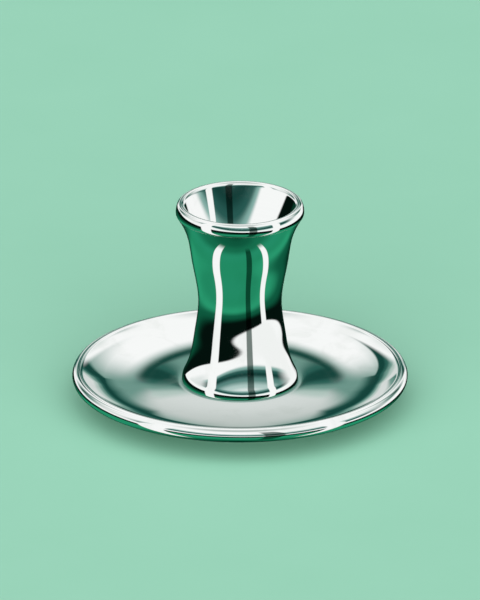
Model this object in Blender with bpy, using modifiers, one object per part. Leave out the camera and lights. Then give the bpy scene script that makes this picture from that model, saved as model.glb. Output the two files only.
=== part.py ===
"""Double-walled tea cup in polished steel, standing on its footed saucer.

Metres, +Z up. The origin is on the table, under the middle of the saucer's foot.
"""

import math

import bpy
import numpy as np

# Driving dimensions, in metres
TURN_STEPS = 40
FIT_GAP = 0.0003

SAUCER_DIAMETER = 0.1400
SAUCER_SHEET = 0.0010
SEAT_HEIGHT = 0.0120
SEAT_DIAMETER = 0.0480
BOWL_RADIUS = 0.2500
DISH_DEPTH = 0.0056
UPTURN_RADIUS = 0.0250
RIM_BEAD_DIAMETER = 0.0060
RIM_CURL_END_DEGREES = -140.0

FOOT_DIAMETER = 0.0760
FOOT_NECK_DIAMETER = 0.0690
FOOT_WALL = 0.0018
FOOT_FLANGE = 0.0040
FOOT_BEND_RADIUS = 0.0024
FOOT_TREAD_HEIGHT = 0.0012

CUP_HEIGHT = 0.0794
CUP_SHEET = 0.0007
AIR_GAP = 0.0014
LIP_DIAMETER = 0.0535
LIP_DROP = 0.0039
LIP_CREST_ROUND = 0.0018
LIP_FLANK_RADIUS = 0.0075
LIP_UNDER_ROUND = 0.0025
LIP_FLARE_DEGREES = 32.6
MOUTH_FLARE_DEGREES = 16.0
NECK_DIAMETER = 0.0452
NECK_DROP = 0.0127
SHOULDER_DIAMETER = 0.0402
SHOULDER_HEIGHT = 0.0540
WAIST_DIAMETER = 0.0348
WAIST_HEIGHT = 0.0360
KNEE_DIAMETER = 0.0379
KNEE_HEIGHT = 0.0220
BASE_DIAMETER = 0.0484
BASE_CROWN_RADIUS = 0.0080
BASE_CROWN_HEIGHT = 0.0010
BASE_CORNER = 0.0008
BASE_FLARE_DEGREES = 27.0
BASE_TURN_IN = 0.0042

BASE_PLATE_SHEET = 0.0008
BASE_PLATE_LAP = 0.0015

LINER_SHOULDER_INSET = 0.0003
LINER_FLOOR_HEIGHT = 0.0060
LINER_FLOOR_SPREAD = 0.0020
LINER_FLOOR_FILLET = 0.0030

# Sizes that follow from the driving dimensions
seat_radius = SEAT_DIAMETER / 2
cup_floor = SEAT_HEIGHT + FIT_GAP
wall_build = CUP_SHEET + AIR_GAP + CUP_SHEET
waist_radius = WAIST_DIAMETER / 2
shoulder_radius = SHOULDER_DIAMETER / 2
neck_radius = NECK_DIAMETER / 2
neck_height = CUP_HEIGHT - NECK_DROP
lip_radius = LIP_DIAMETER / 2
base_radius = BASE_DIAMETER / 2
lip_flare = math.radians(LIP_FLARE_DEGREES)
lip_widest_height = CUP_HEIGHT - LIP_DROP


def arc(centre, radius, start_degrees, end_degrees, segments):
    """Points on a circle in the (radius, height) plane, both ends included."""
    points = []
    for step in range(segments + 1):
        angle = math.radians(start_degrees + (end_degrees - start_degrees) * step / segments)
        points.append((centre[0] + radius * math.cos(angle), centre[1] + radius * math.sin(angle)))
    return points


def fair_curve(stations, start_slope, end_slope, segments):
    """Smooth wall through (radius, height) stations, which keeps its curvature from bay to bay.

    The slopes are radius over height at both ends, and segments counts the steps in each bay.
    The first station is left out of the points, because the outline already has it.
    """
    radii = np.array([station[0] for station in stations])
    heights = np.array([station[1] for station in stations])
    rise = np.diff(heights)
    lean = np.diff(radii) / rise
    matrix = np.identity(len(stations))
    wanted = np.array([start_slope] + [0.0] * (len(stations) - 2) + [end_slope])
    for index in range(1, len(stations) - 1):
        matrix[index, index - 1] = 1 / rise[index - 1]
        matrix[index, index] = 2 / rise[index - 1] + 2 / rise[index]
        matrix[index, index + 1] = 1 / rise[index]
        wanted[index] = 3 * (lean[index - 1] / rise[index - 1] + lean[index] / rise[index])
    slopes = np.linalg.solve(matrix, wanted)

    points = []
    for bay, steps in enumerate(segments):
        for step in range(1, steps + 1):
            t = step / steps
            pull_start = slopes[bay] - lean[bay]
            pull_end = slopes[bay + 1] - lean[bay]
            bow = t * (1 - t) * rise[bay] * (pull_start * (1 - t) - pull_end * t)
            radius = radii[bay] + lean[bay] * rise[bay] * t + bow
            points.append((float(radius), float(heights[bay] + rise[bay] * t)))
    return points


def sheet(face, thickness):
    """Closed outline of sheet metal from its visible face, with the metal on the right of the path."""
    back = []
    last = len(face) - 1
    for index, point in enumerate(face):
        before = face[max(index - 1, 0)]
        after = face[min(index + 1, last)]
        ways = []
        for here, there in ((before, point), (point, after)):
            length = math.dist(here, there)
            if length > 0:
                ways.append(((there[0] - here[0]) / length, (there[1] - here[1]) / length))
        way = (sum(w[0] for w in ways), sum(w[1] for w in ways))
        size = math.hypot(*way)
        mitre = size / len(ways)
        back.append((point[0] + way[1] / size * thickness / mitre,
                     point[1] - way[0] / size * thickness / mitre))
    return face + back[::-1]


def polished_steel(name, colour, roughness):
    """Mirror-polished steel in the part's own tint."""
    material = bpy.data.materials.new(name)
    material.use_nodes = True
    shader = material.node_tree.nodes["Principled BSDF"]
    shader.inputs["Base Color"].default_value = (*colour, 1.0)
    shader.inputs["Metallic"].default_value = 1.0
    shader.inputs["Roughness"].default_value = roughness
    return material


def turned(name, outline, material, parent=None):
    """A piece turned from its outline: clockwise, with the outer side running down."""
    mesh = bpy.data.meshes.new(name)
    open_on_axis = outline[0][0] == 0.0
    edges = [(index, index + 1) for index in range(len(outline) - 1)]
    if not open_on_axis:
        edges.append((len(outline) - 1, 0))
    mesh.from_pydata([(radius, 0.0, height) for radius, height in outline], edges, [])
    piece = bpy.data.objects.new(name, mesh)
    piece.data.materials.append(material)
    piece.parent = parent
    parts.objects.link(piece)
    screw = piece.modifiers.new("Turn on the axis", "SCREW")
    screw.axis = "Z"
    screw.steps = TURN_STEPS
    screw.render_steps = TURN_STEPS
    screw.use_smooth_shade = True
    screw.use_merge_vertices = True
    screw.merge_threshold = 0.00001
    return piece


def saucer_dish():
    """Pressed dish: flat seat, shallow hollow bowl, upturn, and an edge curled into a round bead."""
    bead = RIM_BEAD_DIAMETER / 2
    bead_centre = (SAUCER_DIAMETER / 2 - bead, SEAT_HEIGHT + DISH_DEPTH - bead)
    bowl_centre = (seat_radius, SEAT_HEIGHT + BOWL_RADIUS)

    # The upturn lies inside the bowl's circle and touches the bead from outside, which places its centre
    from_bowl = BOWL_RADIUS - UPTURN_RADIUS
    from_bead = UPTURN_RADIUS + bead
    apart = math.dist(bowl_centre, bead_centre)
    turn = math.acos((from_bowl ** 2 + apart ** 2 - from_bead ** 2) / (2 * from_bowl * apart))
    angle = math.atan2(bead_centre[1] - bowl_centre[1], bead_centre[0] - bowl_centre[0]) - turn
    upturn_centre = (bowl_centre[0] + from_bowl * math.cos(angle),
                     bowl_centre[1] + from_bowl * math.sin(angle))
    upturn_start = math.degrees(angle)
    meet = math.degrees(math.atan2(upturn_centre[1] - bead_centre[1], upturn_centre[0] - bead_centre[0]))

    face = [(0.0, SEAT_HEIGHT)]
    face += arc(bowl_centre, BOWL_RADIUS, -90, upturn_start, 5)
    face += arc(upturn_centre, UPTURN_RADIUS, upturn_start, meet - 180, 4)[1:]
    face += arc(bead_centre, bead, meet, 90, 2)[1:]
    face += arc(bead_centre, bead, 90, -90, 6)[1:]
    face += arc(bead_centre, bead, -90, RIM_CURL_END_DEGREES, 2)[1:]
    return turned("saucer_dish", sheet(face, SAUCER_SHEET),
                  polished_steel("dish_polished_steel", (0.62, 0.64, 0.63), 0.08))


def saucer_foot_ring():
    """Turned ring under the dish: a flange brazed to the bowl, and a skirt that spreads to the table."""
    neck = FOOT_NECK_DIAMETER / 2
    flange_reach = max(neck - FOOT_FLANGE - seat_radius, 0.0)
    bowl_rise = BOWL_RADIUS - math.sqrt(BOWL_RADIUS ** 2 - flange_reach ** 2)
    top = SEAT_HEIGHT + bowl_rise - SAUCER_SHEET - FIT_GAP
    tread = (FOOT_DIAMETER / 2, 0.0)
    tread_top = (tread[0], FOOT_TREAD_HEIGHT)
    bend_centre = (neck - FOOT_BEND_RADIUS, top - FOOT_BEND_RADIUS)
    neck_end = (neck, bend_centre[1])
    face = [(neck - FOOT_FLANGE, top)]
    face += arc(bend_centre, FOOT_BEND_RADIUS, 90, 0, 3)
    face += fair_curve([neck_end, tread_top], 0.0, 0.0, (4,))
    face += [tread]
    return turned("saucer_foot_ring", sheet(face, FOOT_WALL),
                  polished_steel("foot_polished_steel", (0.58, 0.60, 0.59), 0.12))


def lip_seam():
    """Where the liner's rolled lip ends and the shell begins, under the widest line of the lip."""
    centre = (lip_radius - LIP_UNDER_ROUND, lip_widest_height)
    return (centre[0] + LIP_UNDER_ROUND * math.cos(lip_flare),
            centre[1] - LIP_UNDER_ROUND * math.sin(lip_flare))


def cup_outer_shell(parent):
    """Waisted outer wall, from the seam under the lip to a turned-in edge that stands on the seat."""
    seam = lip_seam()
    top = (seam[0] - FIT_GAP * math.sin(lip_flare), seam[1] - FIT_GAP * math.cos(lip_flare))
    neck = (neck_radius, neck_height)
    shoulder = (shoulder_radius, SHOULDER_HEIGHT)
    waist = (waist_radius, WAIST_HEIGHT)
    knee = (KNEE_DIAMETER / 2, KNEE_HEIGHT)
    crown_centre = (base_radius - BASE_CROWN_RADIUS, BASE_CROWN_HEIGHT)
    crown = arc(crown_centre, BASE_CROWN_RADIUS, BASE_FLARE_DEGREES, 0, 3)
    base_flare = math.radians(BASE_FLARE_DEGREES)

    # The corner lies inside the crown's circle and touches the seat
    drop = BASE_CORNER - BASE_CROWN_HEIGHT
    reach = math.sqrt((BASE_CROWN_RADIUS - BASE_CORNER) ** 2 - drop ** 2)
    corner_centre = (crown_centre[0] + reach, BASE_CORNER)
    corner_start = math.degrees(math.atan2(drop, reach))

    face = [top]
    face += fair_curve([top, neck, shoulder, waist, knee, crown[0]],
                       math.tan(lip_flare), -math.tan(base_flare), (3, 3, 4, 3, 4))
    face += crown[1:]
    face += arc(corner_centre, BASE_CORNER, corner_start, -90, 3)
    face += [(base_radius - BASE_TURN_IN, 0.0)]
    return turned("cup_outer_shell", sheet(face, CUP_SHEET),
                  polished_steel("shell_polished_steel", (0.63, 0.65, 0.64), 0.05), parent)


def cup_inner_liner(parent):
    """Inner wall that holds the tea, and the round lip that it is rolled over into."""
    inner_waist = (waist_radius - wall_build, WAIST_HEIGHT)
    inner_shoulder = (shoulder_radius - wall_build - LINER_SHOULDER_INSET, SHOULDER_HEIGHT)
    inner_neck = (neck_radius - wall_build, neck_height)
    floor_radius = inner_waist[0] + LINER_FLOOR_SPREAD
    fillet_centre = (floor_radius - LINER_FLOOR_FILLET, LINER_FLOOR_HEIGHT + LINER_FLOOR_FILLET)
    wall_foot = (floor_radius, fillet_centre[1])
    mouth_slope = math.tan(math.radians(MOUTH_FLARE_DEGREES))
    under_centre = (lip_radius - LIP_UNDER_ROUND, lip_widest_height)

    # The lip's crest lies inside the circle of its flank and touches it, which places the crest's centre
    flank_centre = (lip_radius - LIP_FLANK_RADIUS, lip_widest_height)
    lift = LIP_DROP - LIP_CREST_ROUND
    apart = LIP_FLANK_RADIUS - LIP_CREST_ROUND
    meet = math.degrees(math.asin(lift / apart))
    crest_centre = (flank_centre[0] + math.sqrt(apart ** 2 - lift ** 2), lip_widest_height + lift)
    crest = arc(crest_centre, LIP_CREST_ROUND, 180 - MOUTH_FLARE_DEGREES, meet, 6)

    face = [(0.0, LINER_FLOOR_HEIGHT)]
    face += arc(fillet_centre, LINER_FLOOR_FILLET, -90, 0, 3)
    face += fair_curve([wall_foot, inner_waist, inner_shoulder, inner_neck, crest[0]],
                       0.0, mouth_slope, (4, 4, 3, 3))
    face += crest[1:]
    face += arc(flank_centre, LIP_FLANK_RADIUS, meet, 0, 2)[1:]
    face += arc(under_centre, LIP_UNDER_ROUND, 0, -LIP_FLARE_DEGREES, 2)[1:]
    return turned("cup_inner_liner", sheet(face, CUP_SHEET),
                  polished_steel("liner_polished_steel", (0.63, 0.65, 0.64), 0.06), parent)


def cup_base_plate(parent):
    """Disc welded inside the shell's turned-in edge, which closes the air space between the walls."""
    radius = base_radius - BASE_TURN_IN + BASE_PLATE_LAP
    under = CUP_SHEET + FIT_GAP
    outline = [(0.0, under + BASE_PLATE_SHEET), (radius, under + BASE_PLATE_SHEET),
               (radius, under), (0.0, under)]
    return turned("cup_base_plate", outline,
                  polished_steel("base_plate_polished_steel", (0.56, 0.58, 0.57), 0.16), parent)


for leftover in list(bpy.data.objects):
    bpy.data.objects.remove(leftover)

parts = bpy.data.collections.new("tea cup on saucer")
bpy.context.scene.collection.children.link(parts)

saucer_dish()
saucer_foot_ring()

# The cup lifts straight up off the seat, along the axis that this empty stands on
cup = bpy.data.objects.new("cup_on_seat", None)
cup.location = (0.0, 0.0, cup_floor)
parts.objects.link(cup)
cup_outer_shell(cup)
cup_inner_liner(cup)
cup_base_plate(cup)
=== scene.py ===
"""Polished steel tea cup on its footed saucer, dressed for a picture.

Metres, +Z up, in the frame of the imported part.
"""

import math

import bpy
import numpy as np
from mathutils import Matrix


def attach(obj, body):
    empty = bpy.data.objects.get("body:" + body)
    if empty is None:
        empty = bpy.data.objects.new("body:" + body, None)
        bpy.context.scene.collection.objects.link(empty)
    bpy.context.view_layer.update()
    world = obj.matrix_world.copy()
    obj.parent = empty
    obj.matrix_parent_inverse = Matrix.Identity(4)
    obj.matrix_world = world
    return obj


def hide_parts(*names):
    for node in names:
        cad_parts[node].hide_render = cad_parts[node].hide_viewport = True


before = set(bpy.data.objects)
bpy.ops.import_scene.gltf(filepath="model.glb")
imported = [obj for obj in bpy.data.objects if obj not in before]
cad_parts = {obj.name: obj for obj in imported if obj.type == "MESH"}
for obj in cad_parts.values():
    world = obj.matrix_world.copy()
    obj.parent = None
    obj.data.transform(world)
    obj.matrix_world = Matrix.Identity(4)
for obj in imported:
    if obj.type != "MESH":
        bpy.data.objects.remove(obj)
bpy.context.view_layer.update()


# Saucer dish.
# One disc of stainless sheet, pressed to a flat seat with a shallow bowl round it. Its edge turns up
# and is curled over outward into a hollow round bead, then the whole dish is mirror polished.
SAUCER_RADIUS = 0.0700
SAUCER_SHEET = 0.0010
SEAT_HEIGHT = 0.0120
SEAT_RADIUS = 0.0240
BOWL_RADIUS = 0.2500
DISH_DEPTH = 0.0056
UPTURN_RADIUS = 0.0250
BEAD_RADIUS = 0.0030
BEAD_CURL_END = -140.0
TURN_STEPS = 240
SHARP_EDGE = math.radians(35)
SEAM_WIDTH = 0.000002
SAME_POINT = 0.0000001


def arc(centre, radius, start_degrees, end_degrees, segments):
    """Points on a circle in the (radius, height) plane, both ends included."""
    angles = np.radians(np.linspace(start_degrees, end_degrees, segments + 1))
    return [(centre[0] + radius * math.cos(a), centre[1] + radius * math.sin(a)) for a in angles]


def straight(start, end, segments):
    """Points on a line from start to end, both ends included."""
    run = np.subtract(end, start)
    return [tuple(start + run * step / segments) for step in range(segments + 1)]


def path(*runs):
    """Runs joined end to end, with each shared point kept once."""
    points = list(runs[0])
    for run in runs[1:]:
        points += run[1:] if math.dist(points[-1], run[0]) < SAME_POINT else run
    return points


def sheet_metal(face, thickness, back_every=3):
    """Closed outline of a sheet from its seen face, with the metal on the right of the path."""
    points = np.array(face)
    ways = np.gradient(points, axis=0)
    ways /= np.linalg.norm(ways, axis=1)[:, None]
    back = points + np.stack([ways[:, 1], -ways[:, 0]], axis=1) * thickness
    kept = sorted(set(range(0, len(face), back_every)) | {len(face) - 1})
    outline = list(face) + [tuple(back[index]) for index in reversed(kept)]
    return outline if face[0][0] == 0 else outline + [face[0]]


def add_node(tree, kind, settings=(), inputs=(), stops=()):
    """Adds a node with its settings. Its inputs are values, or the nodes or outputs that feed them.

    A node feeds by the first output that it has in use. The stops of a colour ramp are (value, hex colour),
    in order, and the ramp runs from the first value to the last.
    """
    node = tree.nodes.new(kind)
    for name, value in dict(settings).items():
        setattr(node, name, value)
    for socket, source in dict(inputs).items():
        if isinstance(source, bpy.types.Node):
            source = next(output for output in source.outputs if output.enabled)
        if isinstance(source, bpy.types.NodeSocket):
            tree.links.new(source, node.inputs[socket])
        else:
            node.inputs[socket].default_value = source
    if stops:
        first, last = stops[0][0], stops[-1][0]
        node.color_ramp.interpolation = "EASE"
        node.color_ramp.elements[0].color = linear(stops[0][1])
        node.color_ramp.elements[1].color = linear(stops[-1][1])
        for value, hex_colour in stops[1:-1]:
            node.color_ramp.elements.new((value - first) / (last - first)).color = linear(hex_colour)
    return node


def turning_tree():
    """Turns an outline about the Z axis: a grid takes its places from the outline, once round the axis."""
    tree = bpy.data.node_groups.new("turned on the axis", "GeometryNodeTree")
    tree.interface.new_socket("Outline", in_out="INPUT", socket_type="NodeSocketGeometry")
    tree.interface.new_socket("Turn steps", in_out="INPUT", socket_type="NodeSocketInt")
    tree.interface.new_socket("Sharp edge angle", in_out="INPUT", socket_type="NodeSocketFloat")
    tree.interface.new_socket("Material", in_out="INPUT", socket_type="NodeSocketMaterial")
    tree.interface.new_socket("Piece", in_out="OUTPUT", socket_type="NodeSocketGeometry")
    start = add_node(tree, "NodeGroupInput")
    count = add_node(tree, "GeometryNodeAttributeDomainSize", {}, {0: start.outputs["Outline"]})
    count = count.outputs["Point Count"]
    round_count = add_node(tree, "ShaderNodeMath", {"operation": "ADD"}, {
        0: start.outputs["Turn steps"], 1: 1.0})
    grid = add_node(tree, "GeometryNodeMeshGrid", {}, {
        "Size X": 1.0, "Size Y": 1.0, "Vertices X": count, "Vertices Y": round_count})
    here = add_node(tree, "GeometryNodeInputPosition")
    share = add_node(tree, "ShaderNodeSeparateXYZ", {}, {0: here})
    last = add_node(tree, "ShaderNodeMath", {"operation": "SUBTRACT"}, {0: count, 1: 1.0})
    along = add_node(tree, "ShaderNodeMath", {"operation": "ADD"}, {0: share.outputs["X"], 1: 0.5})
    along = add_node(tree, "ShaderNodeMath", {"operation": "MULTIPLY"}, {0: along, 1: last})
    along = add_node(tree, "ShaderNodeMath", {"operation": "ROUND"}, {0: along})
    turn = add_node(tree, "ShaderNodeMath", {"operation": "MULTIPLY"}, {0: share.outputs["Y"], 1: math.tau})
    outline_place = add_node(tree, "GeometryNodeSampleIndex", {"data_type": "FLOAT_VECTOR"}, {
        "Geometry": start.outputs["Outline"], "Value": here, "Index": along})
    place = add_node(tree, "ShaderNodeVectorRotate", {"rotation_type": "Z_AXIS"}, {
        "Vector": outline_place, "Angle": turn})
    turned = add_node(tree, "GeometryNodeSetPosition", {}, {"Geometry": grid, "Position": place})
    closed = add_node(tree, "GeometryNodeMergeByDistance", {}, {"Geometry": turned, "Distance": SEAM_WIDTH})
    smooth = add_node(tree, "GeometryNodeSetShadeSmooth", {"domain": "FACE"}, {"Geometry": closed})
    bend = add_node(tree, "GeometryNodeInputMeshEdgeAngle")
    sharp = add_node(tree, "FunctionNodeCompare", {"operation": "GREATER_THAN"}, {
        0: bend.outputs["Unsigned Angle"], 1: start.outputs["Sharp edge angle"]})
    edged = add_node(tree, "GeometryNodeSetShadeSmooth", {"domain": "EDGE"}, {
        "Geometry": smooth, "Selection": sharp, "Shade Smooth": False})
    whole = add_node(tree, "GeometryNodeRealizeInstances", {}, {0: edged})
    finished = add_node(tree, "GeometryNodeSetMaterial", {}, {
        "Geometry": whole, "Material": start.outputs["Material"]})
    add_node(tree, "NodeGroupOutput", {}, {0: finished})
    return tree


turned_on_the_axis = turning_tree()


def turned_piece(name, outline, material, lift=0.0):
    """A finished piece: its outline turned by the tree, as a plain mesh at the origin.

    The pieces mirror the studio, but not each other.
    """
    mesh = bpy.data.meshes.new(name)
    points = [(radius, 0.0, height + lift) for radius, height in outline]
    mesh.from_pydata(points, [(index, index + 1) for index in range(len(points) - 1)], [])
    piece = bpy.data.objects.new(name, mesh)
    bpy.context.scene.collection.objects.link(piece)
    turning = piece.modifiers.new("Turn", "NODES")
    turning.node_group = turned_on_the_axis
    sockets = {item.name: item.identifier for item in turned_on_the_axis.interface.items_tree}
    turning[sockets["Turn steps"]] = TURN_STEPS
    turning[sockets["Sharp edge angle"]] = SHARP_EDGE
    turning[sockets["Material"]] = material
    shaped = piece.evaluated_get(bpy.context.evaluated_depsgraph_get())
    piece.data = bpy.data.meshes.new_from_object(shaped)
    piece.data.name = name
    piece.data.materials.pop(index=0)
    piece.modifiers.remove(turning)
    piece.visible_glossy = False
    return piece


def linear(hex_colour):
    """Linear RGBA of an sRGB hex colour."""
    channels = [int(hex_colour[start:start + 2], 16) / 255 for start in (1, 3, 5)]
    return [c / 12.92 if c <= 0.04045 else ((c + 0.055) / 1.055) ** 2.4 for c in channels] + [1.0]


RING_HAZE = 0.35
RING_HEIGHT = 0.0000012
RING_RELIEF = 0.25
SMEAR_SIZE = 0.014
SMEAR_TURN = (0.4, 0.2, 0.6)
SMEAR_STRETCH = (1.0, 1.0, 0.45)
SMEAR_EDGE = {"From Min": 0.5, "From Max": 0.72}
SOFT_EDGE = {"interpolation_type": "SMOOTHSTEP"}
COLOUR_MIX = {"data_type": "RGBA"}


def mirror_polished_steel(name, bright, dull, gloss, haze, line_spacing, wear=None):
    """Stainless steel buffed to a mirror on a lathe, with its polishing lines running round the axis.

    It mirrors the room almost sharply. Fine rings from the buffing wheel, wiped smears and a little dulling
    where it has stood on things break up the gloss. gloss and haze are the least and most roughness,
    and wear is where the dulling starts and where it is full, as heights.
    """
    material = bpy.data.materials.new(name)
    material.use_nodes = True
    tree = material.node_tree
    shader = tree.nodes["Principled BSDF"]
    shader.inputs["Metallic"].default_value = 1.0
    where = add_node(tree, "ShaderNodeTexCoord")
    axes = add_node(tree, "ShaderNodeSeparateXYZ", {}, {0: where.outputs["Object"]})
    level = add_node(tree, "ShaderNodeCombineXYZ", {}, {0: axes.outputs["X"], 1: axes.outputs["Y"]})
    radius = add_node(tree, "ShaderNodeVectorMath", {"operation": "LENGTH"}, {0: level})
    bearing = add_node(tree, "ShaderNodeVectorMath", {"operation": "NORMALIZE"}, {0: level})
    bearing = add_node(tree, "ShaderNodeSeparateXYZ", {}, {0: bearing})

    # The rings are noise over radius and height that hardly changes on the way round, so each is a long arc.
    # Real buffing lines are some hundredths of a millimetre apart, so these are coarser, to show at all.
    ring_place = add_node(tree, "ShaderNodeCombineXYZ", {}, {0: radius, 1: axes.outputs["Z"]})
    ring_place = add_node(tree, "ShaderNodeVectorMath", {"operation": "SCALE"}, {
        0: ring_place, "Scale": 1 / line_spacing})
    ring_turn = add_node(tree, "ShaderNodeCombineXYZ", {}, {2: bearing.outputs["X"]})
    ring_place = add_node(tree, "ShaderNodeVectorMath", {"operation": "ADD"}, {0: ring_place, 1: ring_turn})
    rings = add_node(tree, "ShaderNodeTexNoise", {"noise_dimensions": "4D"}, {
        "Vector": ring_place, "W": bearing.outputs["Y"], "Scale": 1.0, "Detail": 2.0})

    # Smears from a wiping cloth, drawn out a little
    smear_place = add_node(tree, "ShaderNodeMapping", {}, {
        "Vector": where.outputs["Object"], "Rotation": SMEAR_TURN, "Scale": SMEAR_STRETCH})
    smears = add_node(tree, "ShaderNodeTexNoise", {}, {
        "Vector": smear_place, "Scale": 1 / SMEAR_SIZE, "Detail": 3.0, "Distortion": 0.6})
    smears = add_node(tree, "ShaderNodeMapRange", SOFT_EDGE, {"Value": smears, **SMEAR_EDGE})
    blend = add_node(tree, "ShaderNodeMath", {"operation": "MULTIPLY"}, {0: rings, 1: RING_HAZE})
    blend = add_node(tree, "ShaderNodeMath", {"operation": "ADD", "use_clamp": True}, {0: blend, 1: smears})
    if wear:
        worn = add_node(tree, "ShaderNodeMapRange", SOFT_EDGE, {
            "Value": axes.outputs["Z"], "From Min": wear[0], "From Max": wear[1]})
        blend = add_node(tree, "ShaderNodeMath", {"operation": "MAXIMUM"}, {0: blend, 1: worn})
    rough = add_node(tree, "ShaderNodeMapRange", {}, {"Value": blend, "To Min": gloss, "To Max": haze})
    tree.links.new(rough.outputs["Result"], shader.inputs["Roughness"])
    colour = add_node(tree, "ShaderNodeMix", COLOUR_MIX, {
        "Factor": blend, "A": linear(bright), "B": linear(dull)})
    tree.links.new(colour.outputs["Result"], shader.inputs["Base Color"])
    relief = add_node(tree, "ShaderNodeBump", {}, {
        "Strength": RING_RELIEF, "Distance": RING_HEIGHT, "Height": rings})
    tree.links.new(relief.outputs["Normal"], shader.inputs["Normal"])
    return material


def dish_face():
    """The seen side of the dish, from the middle of the seat out to the curled end of the bead."""
    bead_centre = (SAUCER_RADIUS - BEAD_RADIUS, SEAT_HEIGHT + DISH_DEPTH - BEAD_RADIUS)
    bowl_centre = np.array([SEAT_RADIUS, SEAT_HEIGHT + BOWL_RADIUS])
    seat = straight((0.0, SEAT_HEIGHT), (SEAT_RADIUS, SEAT_HEIGHT), 10)

    # The upturn lies inside the bowl's circle and touches the bead from outside, which places its centre
    from_bowl = BOWL_RADIUS - UPTURN_RADIUS
    from_bead = UPTURN_RADIUS + BEAD_RADIUS
    apart = math.dist(bowl_centre, bead_centre)
    turn = math.acos((from_bowl ** 2 + apart ** 2 - from_bead ** 2) / (2 * from_bowl * apart))
    angle = math.atan2(bead_centre[1] - bowl_centre[1], bead_centre[0] - bowl_centre[0]) - turn
    upturn_centre = bowl_centre + from_bowl * np.array([math.cos(angle), math.sin(angle)])
    meet = math.degrees(math.atan2(*(upturn_centre - bead_centre)[::-1]))
    bowl = arc(bowl_centre, BOWL_RADIUS, -90, math.degrees(angle), 48)
    upturn = arc(upturn_centre, UPTURN_RADIUS, math.degrees(angle), meet - 180, 40)
    bead = arc(bead_centre, BEAD_RADIUS, meet, 90, 12)
    curl = arc(bead_centre, BEAD_RADIUS, 90, -90, 60)
    tuck = arc(bead_centre, BEAD_RADIUS, -90, BEAD_CURL_END, 14)
    return path(seat, bowl, upturn, bead, curl, tuck)


# Pressed sheet that is buffed last: an almost clear mirror under faint rings and wiped smears
dish_steel = mirror_polished_steel("stainless sheet, pressed and mirror polished", "#F7F9F8", "#EFF2F0",
                                   gloss=0.02, haze=0.05, line_spacing=0.0006)
saucer_dish = turned_piece("polished_saucer_dish", sheet_metal(dish_face(), SAUCER_SHEET), dish_steel)
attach(saucer_dish, "saucer")
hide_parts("saucer_dish")


# Saucer foot ring.
# A ring of thicker stainless, spun to a flange, a round bend and a skirt that spreads to the table.
# The flange is brazed under the bowl, and the tread is eased and dulled by standing.
FOOT_RADIUS = 0.0380
FOOT_NECK_RADIUS = 0.0345
FOOT_WALL = 0.0018
FOOT_FLANGE = 0.0040
FOOT_BEND_RADIUS = 0.0024
FOOT_TREAD_HEIGHT = 0.0012
FOOT_EASING = 0.0004
FOOT_JOINT = 0.0003
TREAD_WEAR = (0.0016, 0.0005)


def fair_curve(stations, start_slope, end_slope, segments):
    """Smooth wall through (radius, height) stations, which keeps its curvature from bay to bay.

    The slopes are radius over height at both ends, and segments counts the steps in each bay.
    """
    radii = np.array([station[0] for station in stations])
    heights = np.array([station[1] for station in stations])
    rise = np.diff(heights)
    lean = np.diff(radii) / rise
    matrix = np.identity(len(stations))
    wanted = np.array([start_slope] + [0.0] * (len(stations) - 2) + [end_slope])
    for index in range(1, len(stations) - 1):
        matrix[index, index - 1] = 1 / rise[index - 1]
        matrix[index, index] = 2 / rise[index - 1] + 2 / rise[index]
        matrix[index, index + 1] = 1 / rise[index]
        wanted[index] = 3 * (lean[index - 1] / rise[index - 1] + lean[index] / rise[index])
    slopes = np.linalg.solve(matrix, wanted)
    points = [tuple(stations[0])]
    for bay in range(len(rise)):
        t = np.arange(1, segments + 1) / segments
        bow = (slopes[bay] - lean[bay]) * (1 - t) - (slopes[bay + 1] - lean[bay]) * t
        bow = t * (1 - t) * rise[bay] * bow
        points += list(zip(radii[bay] + lean[bay] * rise[bay] * t + bow, heights[bay] + rise[bay] * t))
    return points


def foot_outline():
    """Closed outline of the ring: over the flange, down the skirt, across the tread and back up inside."""
    bowl_reach = FOOT_NECK_RADIUS - FOOT_FLANGE - SEAT_RADIUS
    bowl_rise = BOWL_RADIUS - math.sqrt(BOWL_RADIUS ** 2 - bowl_reach ** 2)
    top = SEAT_HEIGHT + bowl_rise - SAUCER_SHEET - FOOT_JOINT
    bend_centre = (FOOT_NECK_RADIUS - FOOT_BEND_RADIUS, top - FOOT_BEND_RADIUS)
    flange = straight((FOOT_NECK_RADIUS - FOOT_FLANGE, top), (bend_centre[0], top), 6)
    bend = arc(bend_centre, FOOT_BEND_RADIUS, 90, 0, 24)
    skirt = fair_curve([bend[-1], (FOOT_RADIUS, FOOT_TREAD_HEIGHT)], 0.0, 0.0, 24)
    heel_centre = (FOOT_RADIUS - FOOT_EASING, FOOT_EASING)
    toe_centre = (FOOT_RADIUS - FOOT_WALL + FOOT_EASING, FOOT_EASING)
    heel = arc(heel_centre, FOOT_EASING, 0, -90, 8)
    toe = arc(toe_centre, FOOT_EASING, -90, -180, 8)
    outside = path(flange, bend, skirt)
    inside = sheet_metal(outside, FOOT_WALL)[len(outside):]
    return path(outside, heel, toe, inside)


# A spun ring with less polish: softer reflections, and a tread gone grey and dull
foot_steel = mirror_polished_steel("stainless ring, spun and polished", "#EBEEEC", "#D9DDDA",
                                   gloss=0.05, haze=0.16, line_spacing=0.0005, wear=TREAD_WEAR)
foot_ring = turned_piece("polished_foot_ring", foot_outline(), foot_steel)
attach(foot_ring, "saucer")
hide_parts("saucer_foot_ring")


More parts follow.
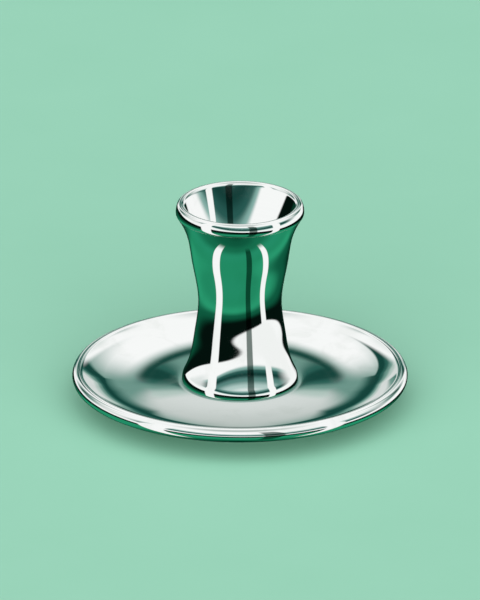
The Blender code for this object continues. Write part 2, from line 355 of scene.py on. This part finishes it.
# Cup outer shell.
# A tube of thin stainless, spun to a waist between a flared top and a flared base. The base edge is
# crowned and turned in under the cup, and the top is welded under the lip and buffed flush.
CUP_FLOOR = 0.0123
CUP_HEIGHT = 0.0794
CUP_SHEET = 0.0007
LIP_RADIUS = 0.02675
LIP_DROP = 0.0039
LIP_UNDER_ROUND = 0.0025
LIP_FLARE = 32.6
NECK_STATION = (0.0226, CUP_HEIGHT - 0.0127)
SHOULDER_STATION = (0.0201, 0.0540)
WAIST_STATION = (0.0174, 0.0360)
KNEE_STATION = (0.01895, 0.0220)
BASE_RADIUS = 0.0242
BASE_CROWN_RADIUS = 0.0080
BASE_CROWN_HEIGHT = 0.0010
BASE_CORNER = 0.0008
BASE_FLARE = 27.0
BASE_TURN_IN = 0.0042
LIP_SEAM = 0.00004
STANDING_WEAR = (CUP_FLOOR + 0.0008, CUP_FLOOR + 0.0001)


def shell_face():
    """The seen side of the shell, from the weld under the lip down to the turned-in edge."""
    flare = math.radians(LIP_FLARE)
    under_centre = (LIP_RADIUS - LIP_UNDER_ROUND, CUP_HEIGHT - LIP_DROP)
    weld = arc(under_centre, LIP_UNDER_ROUND, -LIP_FLARE, -LIP_FLARE, 1)[0]
    top = (weld[0] - LIP_SEAM * math.sin(flare), weld[1] - LIP_SEAM * math.cos(flare))
    crown_centre = (BASE_RADIUS - BASE_CROWN_RADIUS, BASE_CROWN_HEIGHT)
    crown = arc(crown_centre, BASE_CROWN_RADIUS, BASE_FLARE, 0, 28)
    wall = fair_curve([top, NECK_STATION, SHOULDER_STATION, WAIST_STATION, KNEE_STATION, crown[0]],
                      math.tan(flare), -math.tan(math.radians(BASE_FLARE)), 26)

    # The corner lies inside the crown's circle and touches the seat
    drop = BASE_CORNER - BASE_CROWN_HEIGHT
    reach = math.sqrt((BASE_CROWN_RADIUS - BASE_CORNER) ** 2 - drop ** 2)
    corner_start = math.degrees(math.atan2(drop, reach))
    shoulder = arc(crown_centre, BASE_CROWN_RADIUS, 0, corner_start, 6)
    corner = arc((crown_centre[0] + reach, BASE_CORNER), BASE_CORNER, corner_start, -90, 14)
    turned_in = straight(corner[-1], (BASE_RADIUS - BASE_TURN_IN, 0.0), 6)
    return path(wall, crown, shoulder, corner, turned_in)


# A spun tube with the best polish of the set: the clearest mirror, dulled only where it stands
shell_steel = mirror_polished_steel("stainless tube, spun and mirror polished", "#F7F9F8", "#EFF2F0",
                                    gloss=0.015, haze=0.04, line_spacing=0.0006, wear=STANDING_WEAR)
cup_shell = turned_piece("polished_cup_shell", sheet_metal(shell_face(), CUP_SHEET), shell_steel, CUP_FLOOR)
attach(cup_shell, "cup")
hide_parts("cup_outer_shell")


# Cup base plate.
# A flat stainless disc, blanked with an eased edge and welded inside the shell's turned-in edge.
# It closes the air space between the two walls, and only shows from below when the cup is lifted.
PLATE_RADIUS = 0.0215
PLATE_SHEET = 0.0008
PLATE_UNDER = 0.0010
PLATE_EASING = 0.0003


def plate_outline():
    """Half outline of the disc, from the middle of its top round the eased edge to the middle below."""
    top = PLATE_UNDER + PLATE_SHEET
    reach = PLATE_RADIUS - PLATE_EASING
    return path(straight((0.0, top), (reach, top), 8),
                arc((reach, top - PLATE_EASING), PLATE_EASING, 90, 0, 5),
                arc((reach, PLATE_UNDER + PLATE_EASING), PLATE_EASING, 0, -90, 5),
                straight((reach, PLATE_UNDER), (0.0, PLATE_UNDER), 8))


# A blanked disc that is only roughly polished: a blurred, greyer sheen
plate_steel = mirror_polished_steel("stainless disc, blanked and polished", "#E4E8E5", "#D1D6D3",
                                    gloss=0.08, haze=0.2, line_spacing=0.0005)
base_plate = turned_piece("polished_base_plate", plate_outline(), plate_steel, CUP_FLOOR)
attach(base_plate, "cup")
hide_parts("cup_base_plate")


# Cup inner liner and lip.
# A second thin stainless wall that holds the tea, drawn in one piece with its floor. Its mouth is
# rolled over outward into the round lip, whose edge meets the shell at the weld.
AIR_GAP = 0.0014
LIP_CREST_ROUND = 0.0018
LIP_FLANK_RADIUS = 0.0075
MOUTH_FLARE = 16.0
LINER_SHOULDER_INSET = 0.0003
LINER_FLOOR_HEIGHT = 0.0060
LINER_FLOOR_SPREAD = 0.0020
LINER_FLOOR_FILLET = 0.0030


def liner_face():
    """The seen side of the liner, from the middle of its floor up the wall, over the lip and to the weld."""
    wall_build = CUP_SHEET + AIR_GAP + CUP_SHEET
    floor_radius = WAIST_STATION[0] - wall_build + LINER_FLOOR_SPREAD
    fillet_centre = (floor_radius - LINER_FLOOR_FILLET, LINER_FLOOR_HEIGHT + LINER_FLOOR_FILLET)
    fillet = arc(fillet_centre, LINER_FLOOR_FILLET, -90, 0, 20)
    floor = straight((0.0, LINER_FLOOR_HEIGHT), fillet[0], 8)
    waist = (WAIST_STATION[0] - wall_build, WAIST_STATION[1])
    shoulder = (SHOULDER_STATION[0] - wall_build - LINER_SHOULDER_INSET, SHOULDER_STATION[1])
    neck = (NECK_STATION[0] - wall_build, NECK_STATION[1])
    mouth_slope = math.tan(math.radians(MOUTH_FLARE))
    widest = CUP_HEIGHT - LIP_DROP

    # The lip's crest lies inside the circle of its flank and touches it, which places the crest's centre
    flank_centre = (LIP_RADIUS - LIP_FLANK_RADIUS, widest)
    lift = LIP_DROP - LIP_CREST_ROUND
    apart = LIP_FLANK_RADIUS - LIP_CREST_ROUND
    meet = math.degrees(math.asin(lift / apart))
    crest_centre = (flank_centre[0] + math.sqrt(apart ** 2 - lift ** 2), widest + lift)
    crest = arc(crest_centre, LIP_CREST_ROUND, 180 - MOUTH_FLARE, meet, 56)
    flank = arc(flank_centre, LIP_FLANK_RADIUS, meet, 0, 24)
    under = arc((LIP_RADIUS - LIP_UNDER_ROUND, widest), LIP_UNDER_ROUND, 0, -LIP_FLARE, 14)
    wall = fair_curve([fillet[-1], waist, shoulder, neck, crest[0]], 0.0, mouth_slope, 24)
    return path(floor, fillet, wall, crest, flank, under)


# A drawn liner, polished with a felt bob: nearly as clear as the shell, with a little more haze
liner_steel = mirror_polished_steel("stainless liner, drawn and mirror polished", "#F7F9F8", "#EEF1EF",
                                    gloss=0.015, haze=0.045, line_spacing=0.0006)
cup_liner = turned_piece("polished_cup_liner", sheet_metal(liner_face(), CUP_SHEET), liner_steel, CUP_FLOOR)
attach(cup_liner, "cup")
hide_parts("cup_inner_liner")


# Floor.
# A wide sheet of pale green studio paper, matt and very slightly mottled, which the set stands on.
# It lies a hair below the foot ring. It isn't part of the object, and the metal doesn't mirror it.
FLOOR_HALF_WIDTH = 6.0
FLOOR_DROP = 0.00005
FLOOR_COLOUR = "#9AD4BA"
FLOOR_MOTTLE = "#96D1B6"
MOTTLE_SIZE = 0.05

floor_corners = [(x * FLOOR_HALF_WIDTH, y * FLOOR_HALF_WIDTH, -FLOOR_DROP)
                 for x, y in ((-1, -1), (1, -1), (1, 1), (-1, 1))]
floor_mesh = bpy.data.meshes.new("studio_paper")
floor_mesh.from_pydata(floor_corners, [], [(0, 1, 2, 3)])
floor = bpy.data.objects.new("studio_paper", floor_mesh)
bpy.context.scene.collection.objects.link(floor)

# Uncoated paper hardly shines, and its pulp gives a faint mottle that keeps the floor from looking painted
paper = bpy.data.materials.new("pale green studio paper, matt")
paper.use_nodes = True
paper_shader = paper.node_tree.nodes["Principled BSDF"]
paper_shader.inputs["Roughness"].default_value = 0.9
paper_shader.inputs["Specular IOR Level"].default_value = 0.1
paper_place = add_node(paper.node_tree, "ShaderNodeTexCoord")
paper_mottle = add_node(paper.node_tree, "ShaderNodeTexNoise", {}, {
    "Vector": paper_place.outputs["Object"], "Scale": 1 / MOTTLE_SIZE, "Detail": 2.0})
paper_colour = add_node(paper.node_tree, "ShaderNodeMix", COLOUR_MIX, {
    "Factor": paper_mottle, "A": linear(FLOOR_COLOUR), "B": linear(FLOOR_MOTTLE)})
paper.node_tree.links.new(paper_colour.outputs["Result"], paper_shader.inputs["Base Color"])
floor_mesh.materials.append(paper)
floor.visible_glossy = False


# Studio walls.
# The metal mirrors a studio that is written in the world: green below with a dark edge, a white wall with a
# dark band over it, and side walls with upright panels. Its angles are degrees from level or from the front.
WHITE = "#FFFFFF"
BELOW_COLOURS = ((-90, "#0A4630"), (-74, "#0F5B40"), (-60, "#17704F"), (-46, "#25906A"), (-36, "#238E66"),
                 (-27, "#2A9C71"), (-19, "#0F5B40"), (-11, "#04120D"), (90, "#04120D"))
ABOVE_COLOURS = ((-90, WHITE), (1, WHITE), (4, "#86B0A8"), (7, "#2A5C55"), (11, "#123F39"), (18, "#5A8881"),
                 (28, "#B5CFCA"), (36, WHITE), (90, WHITE))
SIDE_COLOURS = ((-90, WHITE), (4, WHITE), (11, "#9DB5AE"), (17, "#4F746B"), (23, "#8AA59E"), (32, "#DCE4E1"),
                (42, WHITE), (90, WHITE))
PANEL_COLOURS = ((90, WHITE), (104, WHITE), (111, "#8FA8A1"), (118, WHITE), (130, WHITE), (137, "#7C9A92"),
                 (145, WHITE), (180, WHITE))
FAR_LOW_COLOUR = "#08291D"
FROM_NADIR_TO_ZENITH = {"From Min": -90.0, "From Max": 90.0}
FROM_SIDE_TO_BACK = {"From Min": 90.0, "From Max": 180.0}
RIGHT_DROP = 11.7
RIGHT_DROP_START = {"From Min": -60.0, "From Max": 75.0}
RIGHT_DROP_END = {"From Min": 175.0, "From Max": 150.0}
RIGHT_DROP_CURVE = 2.0
LEFT_RISE = 14.0
LEFT_RISE_START = {"From Min": 60.0, "From Max": -60.0}
LEFT_RISE_CURVE = 3.0
BAND_DROP = 3.0
WALL_EDGE = {"From Min": -3.6, "From Max": -2.4}
LEFT_WALL = {"From Min": -66.0, "From Max": -92.0}
RIGHT_WALL = {"From Min": 85.0, "From Max": 125.0}
SIDE_START = {"From Min": 108.0, "From Max": 126.0, "To Min": 0.3, "To Max": 1.0}
SIDE_END = {"From Min": 156.0, "From Max": 140.0}
PANEL_FOOT = {"From Min": 8.0, "From Max": 14.0}
PANEL_HEAD = {"From Min": 56.0, "From Max": 38.0}
FAR_SIDE = {"From Min": 142.0, "From Max": 172.0}
LOW_DOWN = {"From Min": -2.0, "From Max": -6.0}
COLOUR_MULTIPLY = {"data_type": "RGBA", "blend_type": "MULTIPLY"}

world = bpy.data.worlds.new("studio")
bpy.context.scene.world = world
world.use_nodes = True
sky = world.node_tree
sky.nodes.clear()
sight = add_node(sky, "ShaderNodeTexCoord").outputs["Generated"]
sight_axes = add_node(sky, "ShaderNodeSeparateXYZ", {}, {0: sight})
to_right = sight_axes.outputs["X"]
level = add_node(sky, "ShaderNodeMath", {"operation": "ARCSINE"}, {0: sight_axes.outputs["Z"]})
level = add_node(sky, "ShaderNodeMath", {"operation": "DEGREES"}, {0: level})
to_front = add_node(sky, "ShaderNodeMath", {"operation": "MULTIPLY"}, {0: sight_axes.outputs["Y"], 1: -1.0})
bearing = add_node(sky, "ShaderNodeMath", {"operation": "ARCTAN2"}, {0: to_right, 1: to_front})
bearing = add_node(sky, "ShaderNodeMath", {"operation": "DEGREES"}, {0: bearing})
away = add_node(sky, "ShaderNodeMath", {"operation": "ABSOLUTE"}, {0: bearing})

# The green below and the foot of the white wall, which reaches lower on the right
right = add_node(sky, "ShaderNodeMapRange", {}, {"Value": bearing, **RIGHT_DROP_START})
right = add_node(sky, "ShaderNodeMath", {"operation": "POWER"}, {0: right, 1: RIGHT_DROP_CURVE})
right_end = add_node(sky, "ShaderNodeMapRange", SOFT_EDGE, {"Value": bearing, **RIGHT_DROP_END})
right = add_node(sky, "ShaderNodeMath", {"operation": "MULTIPLY"}, {0: right, 1: right_end})
lower = add_node(sky, "ShaderNodeMath", {"operation": "MULTIPLY_ADD"}, {0: right, 1: RIGHT_DROP, 2: level})
below = add_node(sky, "ShaderNodeMapRange", {}, {"Value": lower, **FROM_NADIR_TO_ZENITH})
below = add_node(sky, "ShaderNodeValToRGB", {}, {0: below}, BELOW_COLOURS)

# The dark band over the wall, which climbs on the left
left = add_node(sky, "ShaderNodeMapRange", {}, {"Value": bearing, **LEFT_RISE_START})
left = add_node(sky, "ShaderNodeMath", {"operation": "POWER"}, {0: left, 1: LEFT_RISE_CURVE})
upper = add_node(sky, "ShaderNodeMath", {"operation": "ADD"}, {0: level, 1: BAND_DROP})
upper = add_node(sky, "ShaderNodeMath", {"operation": "MULTIPLY_ADD"}, {0: left, 1: -LEFT_RISE, 2: upper})
above = add_node(sky, "ShaderNodeMapRange", {}, {"Value": upper, **FROM_NADIR_TO_ZENITH})
above = add_node(sky, "ShaderNodeValToRGB", {}, {0: above}, ABOVE_COLOURS)

# The side walls, with a softer band and upright panels, into which the dark band runs out
sides = add_node(sky, "ShaderNodeMapRange", {}, {"Value": level, **FROM_NADIR_TO_ZENITH})
sides = add_node(sky, "ShaderNodeValToRGB", {}, {0: sides}, SIDE_COLOURS)
panels = add_node(sky, "ShaderNodeMapRange", {}, {"Value": away, **FROM_SIDE_TO_BACK})
panels = add_node(sky, "ShaderNodeValToRGB", {}, {0: panels}, PANEL_COLOURS)
panel_foot = add_node(sky, "ShaderNodeMapRange", SOFT_EDGE, {"Value": level, **PANEL_FOOT})
panel_head = add_node(sky, "ShaderNodeMapRange", SOFT_EDGE, {"Value": level, **PANEL_HEAD})
panel_share = add_node(sky, "ShaderNodeMath", {"operation": "MULTIPLY"}, {0: panel_foot, 1: panel_head})
sides = add_node(sky, "ShaderNodeMix", COLOUR_MULTIPLY, {"Factor": panel_share, "A": sides, "B": panels})
side_start = add_node(sky, "ShaderNodeMapRange", SOFT_EDGE, {"Value": away, **SIDE_START})
side_end = add_node(sky, "ShaderNodeMapRange", SOFT_EDGE, {"Value": away, **SIDE_END})
side_share = add_node(sky, "ShaderNodeMath", {"operation": "MULTIPLY"}, {0: side_start, 1: side_end})
sides = add_node(sky, "ShaderNodeMix", COLOUR_MIX, {"Factor": side_share, "A": linear(WHITE), "B": sides})
left_wall = add_node(sky, "ShaderNodeMapRange", SOFT_EDGE, {"Value": bearing, **LEFT_WALL})
above = add_node(sky, "ShaderNodeMix", COLOUR_MIX, {"Factor": left_wall, "A": above, "B": sides})
right_wall = add_node(sky, "ShaderNodeMapRange", SOFT_EDGE, {"Value": bearing, **RIGHT_WALL})
above = add_node(sky, "ShaderNodeMix", COLOUR_MIX, {"Factor": right_wall, "A": above, "B": sides})
wall = add_node(sky, "ShaderNodeMapRange", SOFT_EDGE, {"Value": lower, **WALL_EDGE})
studio = add_node(sky, "ShaderNodeMix", COLOUR_MIX, {"Factor": wall, "A": below, "B": above})

# The far side, low down, lies in the dark, which gives every edge of the metal a dark line
far = add_node(sky, "ShaderNodeMapRange", SOFT_EDGE, {"Value": away, **FAR_SIDE})
low = add_node(sky, "ShaderNodeMapRange", SOFT_EDGE, {"Value": level, **LOW_DOWN})
far_low = add_node(sky, "ShaderNodeMath", {"operation": "MULTIPLY"}, {0: far, 1: low})
studio = add_node(sky, "ShaderNodeMix", COLOUR_MIX, {
    "Factor": far_low, "A": studio, "B": linear(FAR_LOW_COLOUR)})


# Behind the set.
# A light screen stands behind the set, with a dark hoop round it, and the saucer mirrors both. Tilt is how
# many degrees the metal leans from level to show a place there, and lean is 1 where it leans to the front,
# 0 where it leans sideways and -1 where it leans to the back.
PALE = "#DADFDD"
LIGHT_TEAL = "#B6CAC3"
MID_TEAL = "#70998E"
DEEP_TEAL = "#2C6157"
DARK_TEAL = "#16453D"
INNER_COLOURS = ((0, LIGHT_TEAL), (0.25, MID_TEAL), (2, MID_TEAL), (3.2, DARK_TEAL), (4.7, MID_TEAL),
                 (6, LIGHT_TEAL), (32, LIGHT_TEAL))
LINE_COLOURS = ((-12, WHITE), (-0.1, "#989E9B"), (8.4, "#E1E5E3"), (22, WHITE))
SPOKE_COLOURS = ((-1, PALE), (-0.7, PALE), (-0.46, LIGHT_TEAL), (-0.22, MID_TEAL), (-0.04, DEEP_TEAL),
                 (0.12, DARK_TEAL), (0.32, DARK_TEAL), (0.44, DEEP_TEAL), (0.72, MID_TEAL), (1, MID_TEAL))
HOOP_COLOURS = ((0, DEEP_TEAL), (5.4, DEEP_TEAL), (6.1, DARK_TEAL), (7.6, DARK_TEAL), (9.0, DEEP_TEAL),
                (10.8, MID_TEAL), (12.6, LIGHT_TEAL), (14.4, PALE), (17, PALE), (20, MID_TEAL),
                (24, DEEP_TEAL), (32, DEEP_TEAL))
LEVEL_METAL_SHOWS = 21.8
DEGREES_PER_SIDE_TILT = 0.8
DEGREES_PER_BACK_TILT = 2.0
LEAST_TILT = 0.05
WHOLE_TILT = {"From Min": 0.0, "From Max": 32.0}
WHOLE_LEAN = {"From Min": -1.0, "From Max": 1.0}
LINE_HEIGHTS = {"From Min": -12.0, "From Max": 22.0}
SCREEN_LEAN = {"From Min": 0.15, "From Max": -0.5}
MIDDLE_FADE = {"From Min": 0.2, "From Max": 1.9, "To Min": 0.2, "To Max": 1.0}
FLANK_SLANT = 0.17
FLANK_EDGE = {"From Min": -0.12, "From Max": 0.4}
SPOKE_START = {"From Min": 0.03, "From Max": 0.25}
SPOKE_END = {"From Min": 4.7, "From Max": 2.4}
CEILING_START = {"From Min": 3.5, "From Max": 5.8}
CEILING_LEAN = {"From Min": -0.15, "From Max": 0.45}
HOOP_MIDDLE = 6.1
HOOP_EDGE = {"From Min": 4.7, "From Max": 5.9}
HOOP_FOOT = {"From Min": -0.84, "From Max": -1.0, "To Min": 1.0, "To Max": 0.58}
HOOP_ASIDE = -0.5
HOOP_TWIST = 0.0085
HOOP_SIDE = {"From Min": -0.35, "From Max": 0.65, "To Min": 0.0, "To Max": 2.5}
HOOP_TOP_ASIDE = 0.3
HOOP_TOP = {"From Min": -0.008, "From Max": 0.992, "To Min": 0.0, "To Max": 55.0}
HOOP_TOP_SOFTNESS = 0.15
HOOP_SPREAD = {"From Min": -0.2, "From Max": 0.2, "To Min": 1.0, "To Max": 3.8}
BEHIND_EDGE = {"From Min": 32.0, "From Max": 24.0}
BEHIND_FOOT = {"From Min": -14.0, "From Max": -8.0}
COLOUR_DARKEN = {"data_type": "RGBA", "blend_type": "DARKEN"}

beside = add_node(sky, "ShaderNodeMath", {"operation": "SUBTRACT"}, {0: 180.0, 1: away})
side_tilt = add_node(sky, "ShaderNodeMath", {"operation": "DIVIDE"}, {0: beside, 1: DEGREES_PER_SIDE_TILT})
back_tilt = add_node(sky, "ShaderNodeMath", {"operation": "SUBTRACT"}, {0: level, 1: LEVEL_METAL_SHOWS})
back_tilt = add_node(sky, "ShaderNodeMath", {"operation": "DIVIDE"}, {
    0: back_tilt, 1: DEGREES_PER_BACK_TILT})
tilt = add_node(sky, "ShaderNodeCombineXYZ", {}, {0: side_tilt, 1: back_tilt})
tilt = add_node(sky, "ShaderNodeVectorMath", {"operation": "LENGTH"}, {0: tilt})
lean = add_node(sky, "ShaderNodeMath", {"operation": "MAXIMUM"}, {0: tilt, 1: LEAST_TILT})
lean = add_node(sky, "ShaderNodeMath", {"operation": "DIVIDE"}, {0: back_tilt, 1: lean})
inner = add_node(sky, "ShaderNodeMapRange", {}, {"Value": tilt, **WHOLE_TILT})
inner = add_node(sky, "ShaderNodeValToRGB", {}, {0: inner}, INNER_COLOURS)

# Below what level metal shows stands the light screen with a dull line, and its sides run out to teal
line = add_node(sky, "ShaderNodeMapRange", {}, {"Value": level, **LINE_HEIGHTS})
line = add_node(sky, "ShaderNodeValToRGB", {}, {0: line}, LINE_COLOURS)
screen = add_node(sky, "ShaderNodeMix", COLOUR_MULTIPLY, {"Factor": 1.0, "A": linear(PALE), "B": line})
screen_share = add_node(sky, "ShaderNodeMapRange", SOFT_EDGE, {"Value": lean, **SCREEN_LEAN})
behind = add_node(sky, "ShaderNodeMix", COLOUR_MIX, {"Factor": screen_share, "A": inner, "B": screen})
middle_fade = add_node(sky, "ShaderNodeMapRange", SOFT_EDGE, {"Value": beside, **MIDDLE_FADE})
flank = add_node(sky, "ShaderNodeMath", {"operation": "MULTIPLY_ADD"}, {0: tilt, 1: FLANK_SLANT, 2: lean})
flank = add_node(sky, "ShaderNodeMapRange", SOFT_EDGE, {"Value": flank, **FLANK_EDGE})
flank = add_node(sky, "ShaderNodeMath", {"operation": "MULTIPLY"}, {0: flank, 1: middle_fade})
behind = add_node(sky, "ShaderNodeMix", COLOUR_DARKEN, {"Factor": flank, "A": behind, "B": linear(MID_TEAL)})

# Close to what level metal shows, dark spokes spread to both sides, and above them the ceiling starts
spoke = add_node(sky, "ShaderNodeMapRange", {}, {"Value": lean, **WHOLE_LEAN})
spoke = add_node(sky, "ShaderNodeValToRGB", {}, {0: spoke}, SPOKE_COLOURS)
spoke_end = add_node(sky, "ShaderNodeMapRange", SOFT_EDGE, {"Value": tilt, **SPOKE_END})
spoke_start = add_node(sky, "ShaderNodeMapRange", SOFT_EDGE, {"Value": tilt, **SPOKE_START})
spoke_share = add_node(sky, "ShaderNodeMath", {"operation": "MULTIPLY"}, {0: spoke_end, 1: spoke_start})
behind = add_node(sky, "ShaderNodeMix", COLOUR_DARKEN, {"Factor": spoke_share, "A": behind, "B": spoke})
ceiling_start = add_node(sky, "ShaderNodeMapRange", SOFT_EDGE, {"Value": tilt, **CEILING_START})
ceiling_lean = add_node(sky, "ShaderNodeMapRange", SOFT_EDGE, {"Value": lean, **CEILING_LEAN})
ceiling = add_node(sky, "ShaderNodeMath", {"operation": "MULTIPLY"}, {0: ceiling_start, 1: ceiling_lean})
behind = add_node(sky, "ShaderNodeMix", COLOUR_MIX, {"Factor": ceiling, "A": behind, "B": linear(WHITE)})

# The hoop is read by its distance from the middle of the screen. It stands a little to one side, widens at
# its foot, and leaves at its top, where it also grows softer.
hoop_foot = add_node(sky, "ShaderNodeMapRange", {}, {"Value": lean, **HOOP_FOOT})
hoop_aside = add_node(sky, "ShaderNodeMath", {"operation": "MULTIPLY_ADD"}, {
    0: to_right, 1: HOOP_ASIDE, 2: 1.0})
hoop = add_node(sky, "ShaderNodeMath", {"operation": "MULTIPLY"}, {0: tilt, 1: hoop_foot})
hoop = add_node(sky, "ShaderNodeMath", {"operation": "MULTIPLY"}, {0: hoop, 1: hoop_aside})
twist = add_node(sky, "ShaderNodeMath", {"operation": "MULTIPLY_ADD"}, {0: tilt, 1: HOOP_TWIST, 2: lean})
hoop_side = add_node(sky, "ShaderNodeMapRange", {}, {"Value": twist, **HOOP_SIDE})
hoop_top = add_node(sky, "ShaderNodeMath", {"operation": "MULTIPLY_ADD"}, {
    0: to_right, 1: HOOP_TOP_ASIDE, 2: twist})
hoop_top = add_node(sky, "ShaderNodeMapRange", {}, {"Value": hoop_top, **HOOP_TOP})
hoop = add_node(sky, "ShaderNodeMath", {"operation": "SUBTRACT"}, {0: hoop, 1: hoop_side})
hoop = add_node(sky, "ShaderNodeMath", {"operation": "SUBTRACT"}, {0: hoop, 1: hoop_top})
hoop_spread = add_node(sky, "ShaderNodeMapRange", {}, {"Value": twist, **HOOP_SPREAD})
hoop_softness = add_node(sky, "ShaderNodeMath", {"operation": "MULTIPLY_ADD"}, {
    0: hoop_top, 1: HOOP_TOP_SOFTNESS, 2: 1.0})
hoop = add_node(sky, "ShaderNodeMath", {"operation": "SUBTRACT"}, {0: hoop, 1: HOOP_MIDDLE})
hoop_within = add_node(sky, "ShaderNodeMath", {"operation": "MINIMUM"}, {0: hoop, 1: 0.0})
hoop_within = add_node(sky, "ShaderNodeMath", {"operation": "DIVIDE"}, {0: hoop_within, 1: hoop_softness})
hoop_beyond = add_node(sky, "ShaderNodeMath", {"operation": "MAXIMUM"}, {0: hoop, 1: 0.0})
hoop_beyond = add_node(sky, "ShaderNodeMath", {"operation": "DIVIDE"}, {0: hoop_beyond, 1: hoop_spread})
hoop = add_node(sky, "ShaderNodeMath", {"operation": "ADD"}, {0: hoop_within, 1: hoop_beyond})
hoop = add_node(sky, "ShaderNodeMath", {"operation": "ADD"}, {0: hoop, 1: HOOP_MIDDLE})
hoop_share = add_node(sky, "ShaderNodeMapRange", SOFT_EDGE, {"Value": hoop, **HOOP_EDGE})
hoop_share = add_node(sky, "ShaderNodeMath", {"operation": "MULTIPLY"}, {0: hoop_share, 1: middle_fade})
hoop = add_node(sky, "ShaderNodeMapRange", {}, {"Value": hoop, **WHOLE_TILT})
hoop = add_node(sky, "ShaderNodeValToRGB", {}, {0: hoop}, HOOP_COLOURS)
behind = add_node(sky, "ShaderNodeMix", COLOUR_MIX, {"Factor": hoop_share, "A": behind, "B": hoop})
behind_edge = add_node(sky, "ShaderNodeMapRange", SOFT_EDGE, {"Value": tilt, **BEHIND_EDGE})
behind_foot = add_node(sky, "ShaderNodeMapRange", SOFT_EDGE, {"Value": level, **BEHIND_FOOT})
behind_share = add_node(sky, "ShaderNodeMath", {"operation": "MULTIPLY"}, {0: behind_edge, 1: behind_foot})
studio = add_node(sky, "ShaderNodeMix", COLOUR_MIX, {"Factor": behind_share, "A": studio, "B": behind})


# Ceiling and upright strips.
# Right overhead the studio's ceiling is grey, because the lamps stand round it. Two white strip lamps stand
# upright, left and right of the camera, with a grey post between them, and each draws a line on the cup.
OVERHEAD = {"From Min": 60.0, "From Max": 84.0}
OVERHEAD_COLOUR = "#B4BFBB"
LIGHT_STRIPS = ((-62.0, 10.0), (67.5, 7.5))
DARK_STRIP = (23.5, 7.0)
DARK_STRIP_COLOUR = "#7A8581"
STRIP_SOFTNESS = 1.0
STRIP_FOOT = {"From Min": -68.0, "From Max": -56.0}
STRIP_HEAD = {"From Min": 62.0, "From Max": 50.0}


def strip(centre, half_width):
    """1 inside an upright strip at this bearing, with soft edges, and 0 below its foot and over its head."""
    offset = add_node(sky, "ShaderNodeMath", {"operation": "SUBTRACT"}, {0: bearing, 1: centre})
    offset = add_node(sky, "ShaderNodeMath", {"operation": "ABSOLUTE"}, {0: offset})
    across = add_node(sky, "ShaderNodeMapRange", SOFT_EDGE, {
        "Value": offset, "From Min": half_width + STRIP_SOFTNESS, "From Max": half_width - STRIP_SOFTNESS})
    foot = add_node(sky, "ShaderNodeMapRange", SOFT_EDGE, {"Value": level, **STRIP_FOOT})
    head = add_node(sky, "ShaderNodeMapRange", SOFT_EDGE, {"Value": level, **STRIP_HEAD})
    height = add_node(sky, "ShaderNodeMath", {"operation": "MULTIPLY"}, {0: foot, 1: head})
    return add_node(sky, "ShaderNodeMath", {"operation": "MULTIPLY"}, {0: across, 1: height})


overhead = add_node(sky, "ShaderNodeMapRange", SOFT_EDGE, {"Value": level, **OVERHEAD})
studio = add_node(sky, "ShaderNodeMix", COLOUR_MIX, {
    "Factor": overhead, "A": studio, "B": linear(OVERHEAD_COLOUR)})
for light_strip in LIGHT_STRIPS:
    studio = add_node(sky, "ShaderNodeMix", COLOUR_MIX, {
        "Factor": strip(*light_strip), "A": studio, "B": linear(WHITE)})
studio = add_node(sky, "ShaderNodeMix", COLOUR_MULTIPLY, {
    "Factor": strip(*DARK_STRIP), "A": studio, "B": linear(DARK_STRIP_COLOUR)})


# Lamps and backdrop.
# A broad soft light from the front, with an even dome round it, falls on the paper. The camera sees a
# backdrop in the paper's own colour, and only the metal sees the studio.
DOME_LIGHT = 0.19
FRONT_LIGHT = 5.3
FRONT_LIGHT_RISE = math.radians(25)
FRONT_LIGHT_FOCUS = 4.0

front_light = add_node(sky, "ShaderNodeVectorMath", {"operation": "DOT_PRODUCT"}, {
    0: sight, 1: (0.0, -math.cos(FRONT_LIGHT_RISE), math.sin(FRONT_LIGHT_RISE))})
front_light = add_node(sky, "ShaderNodeMath", {"operation": "MAXIMUM"}, {0: front_light, 1: 0.0})
front_light = add_node(sky, "ShaderNodeMath", {"operation": "POWER"}, {0: front_light, 1: FRONT_LIGHT_FOCUS})
front_light = add_node(sky, "ShaderNodeMath", {"operation": "MULTIPLY_ADD"}, {
    0: front_light, 1: FRONT_LIGHT, 2: DOME_LIGHT})
lamps = add_node(sky, "ShaderNodeBackground", {}, {"Color": linear(WHITE), "Strength": front_light})
mirrored = add_node(sky, "ShaderNodeBackground", {}, {"Color": studio, "Strength": 1.0})
backdrop = add_node(sky, "ShaderNodeBackground", {}, {"Color": linear(FLOOR_COLOUR), "Strength": 1.0})
ray = add_node(sky, "ShaderNodeLightPath")
lit = add_node(sky, "ShaderNodeMixShader", {}, {0: ray.outputs["Is Glossy Ray"], 1: lamps, 2: mirrored})
seen = add_node(sky, "ShaderNodeMixShader", {}, {0: ray.outputs["Is Camera Ray"], 1: lit, 2: backdrop})
add_node(sky, "ShaderNodeOutputWorld", {}, {"Surface": seen})


# Camera.
# A long lens from the front, 21.8 degrees above the table, so that the circles show as in the photograph.
# It stands 8 m off, which leaves next to no perspective.
CAMERA_DISTANCE = 8.0
CAMERA_RISE = math.radians(21.8)
PICTURE_HEIGHT = 0.250
SENSOR_HEIGHT = 0.036
AIM_HEIGHT = 0.0481
MM_PER_M = 1000

lens = bpy.data.cameras.new("camera")
lens.sensor_fit = "VERTICAL"
lens.sensor_height = SENSOR_HEIGHT * MM_PER_M
lens.lens = CAMERA_DISTANCE / PICTURE_HEIGHT * SENSOR_HEIGHT * MM_PER_M
camera = bpy.data.objects.new("camera", lens)
camera_height = AIM_HEIGHT + CAMERA_DISTANCE * math.sin(CAMERA_RISE)
camera.location = (0.0, -CAMERA_DISTANCE * math.cos(CAMERA_RISE), camera_height)
camera.rotation_euler = (math.pi / 2 - CAMERA_RISE, 0.0, 0.0)
bpy.context.scene.collection.objects.link(camera)
bpy.context.scene.camera = camera
bpy.context.scene.view_settings.view_transform = "Standard"
